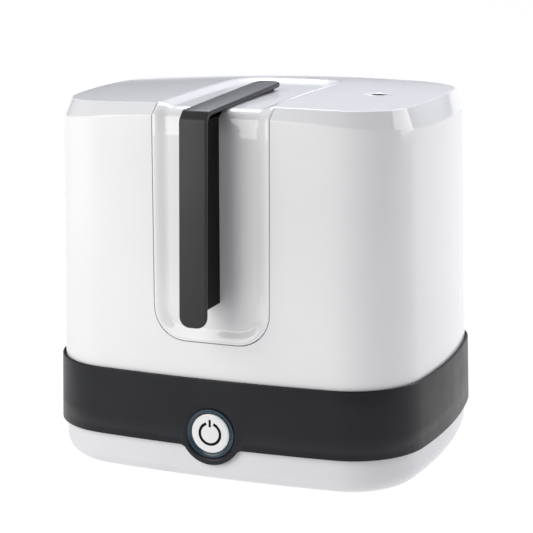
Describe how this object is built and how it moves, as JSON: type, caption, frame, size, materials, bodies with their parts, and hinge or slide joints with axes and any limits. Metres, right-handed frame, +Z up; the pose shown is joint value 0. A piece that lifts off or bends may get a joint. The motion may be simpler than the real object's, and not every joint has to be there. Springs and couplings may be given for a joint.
{
  "type": "bottle steriliser",
  "caption": "Electric steam steriliser for baby bottles: a tall lift-off hood with a fin handle over a rack, a tray and a powered base with a push button.",
  "frame": {"origin": "on the surface it stands on, under the middle of the overall outline, handle included", "axes": "+X is the object's right as seen from the front, +Y points from the front (handle and button) to the back, +Z is up"},
  "size_m": [0.303, 0.265, 0.2875],
  "materials": {
    "white_shell": "high gloss",
    "dark_shell": "satin",
    "pale_inner": "fine matt",
    "dark_inner": "matt",
    "light_guide": "translucent",
    "circuit_board": "lacquered",
    "rubber": "matt",
    "steel": "brushed"
  },
  "bodies": {
    "base": {"band": "dark_shell", "basin": "pale_inner", "board_screw_1": "steel", "board_screw_2": "steel", "bottom_cover": "dark_inner", "button_board": "circuit_board", "button_housing": "dark_inner", "button_spring": "steel", "capacitor": "dark_inner", "clamp_screw_1": "steel", "clamp_screw_2": "steel", "control_board": "circuit_board", "cord_clamp": "dark_inner", "cord_gland": "rubber", "cover_screw_1": "steel", "cover_screw_2": "steel", "cover_screw_3": "steel", "cover_screw_4": "steel", "foot_1": "rubber", "foot_2": "rubber", "foot_3": "rubber", "foot_4": "rubber", "heating_element": "steel", "heating_plate": "steel", "led_left": "light_guide", "led_right": "light_guide", "light_ring": "light_guide", "plate_gasket": "rubber", "plate_retainer": "steel", "relay": "dark_inner", "tactile_switch": "dark_inner", "terminal_block": "pale_inner", "thermal_fuse": "pale_inner", "thermostat": "steel", "tub": "white_shell"},
    "hood": {"hood_shell": "white_shell", "centre_panel": "white_shell", "handle_strip": "dark_shell", "handle_fin": "dark_shell", "handle_screw_1": "steel", "handle_screw_2": "steel", "handle_screw_3": "steel"},
    "tray": {"small_parts_tray": "pale_inner"},
    "rack": {"bottle_rack": "pale_inner"},
    "button": {"power_button": "white_shell", "icon_ring": "dark_shell", "icon_bar": "dark_shell"}
  },
  "joints": [
    {"name": "button_press", "type": "slide", "parent": "base", "child": "button", "axis": [0, 1, 0], "range_m": [0, 0.001], "stiffness_N_per_m": 600, "springref_m": -0.001, "deforming": ["button_spring"]},
    {"name": "rack_lift", "type": "slide", "parent": "base", "child": "rack", "axis": [0, 0, 1], "range_m": [0, 0.1]},
    {"name": "tray_lift", "type": "slide", "parent": "rack", "child": "tray", "axis": [0, 0, 1], "range_m": [0, 0.06]},
    {"name": "hood_lift", "type": "slide", "parent": "tray", "child": "hood", "axis": [0, 0, 1], "range_m": [0, 0.25]}
  ]
}
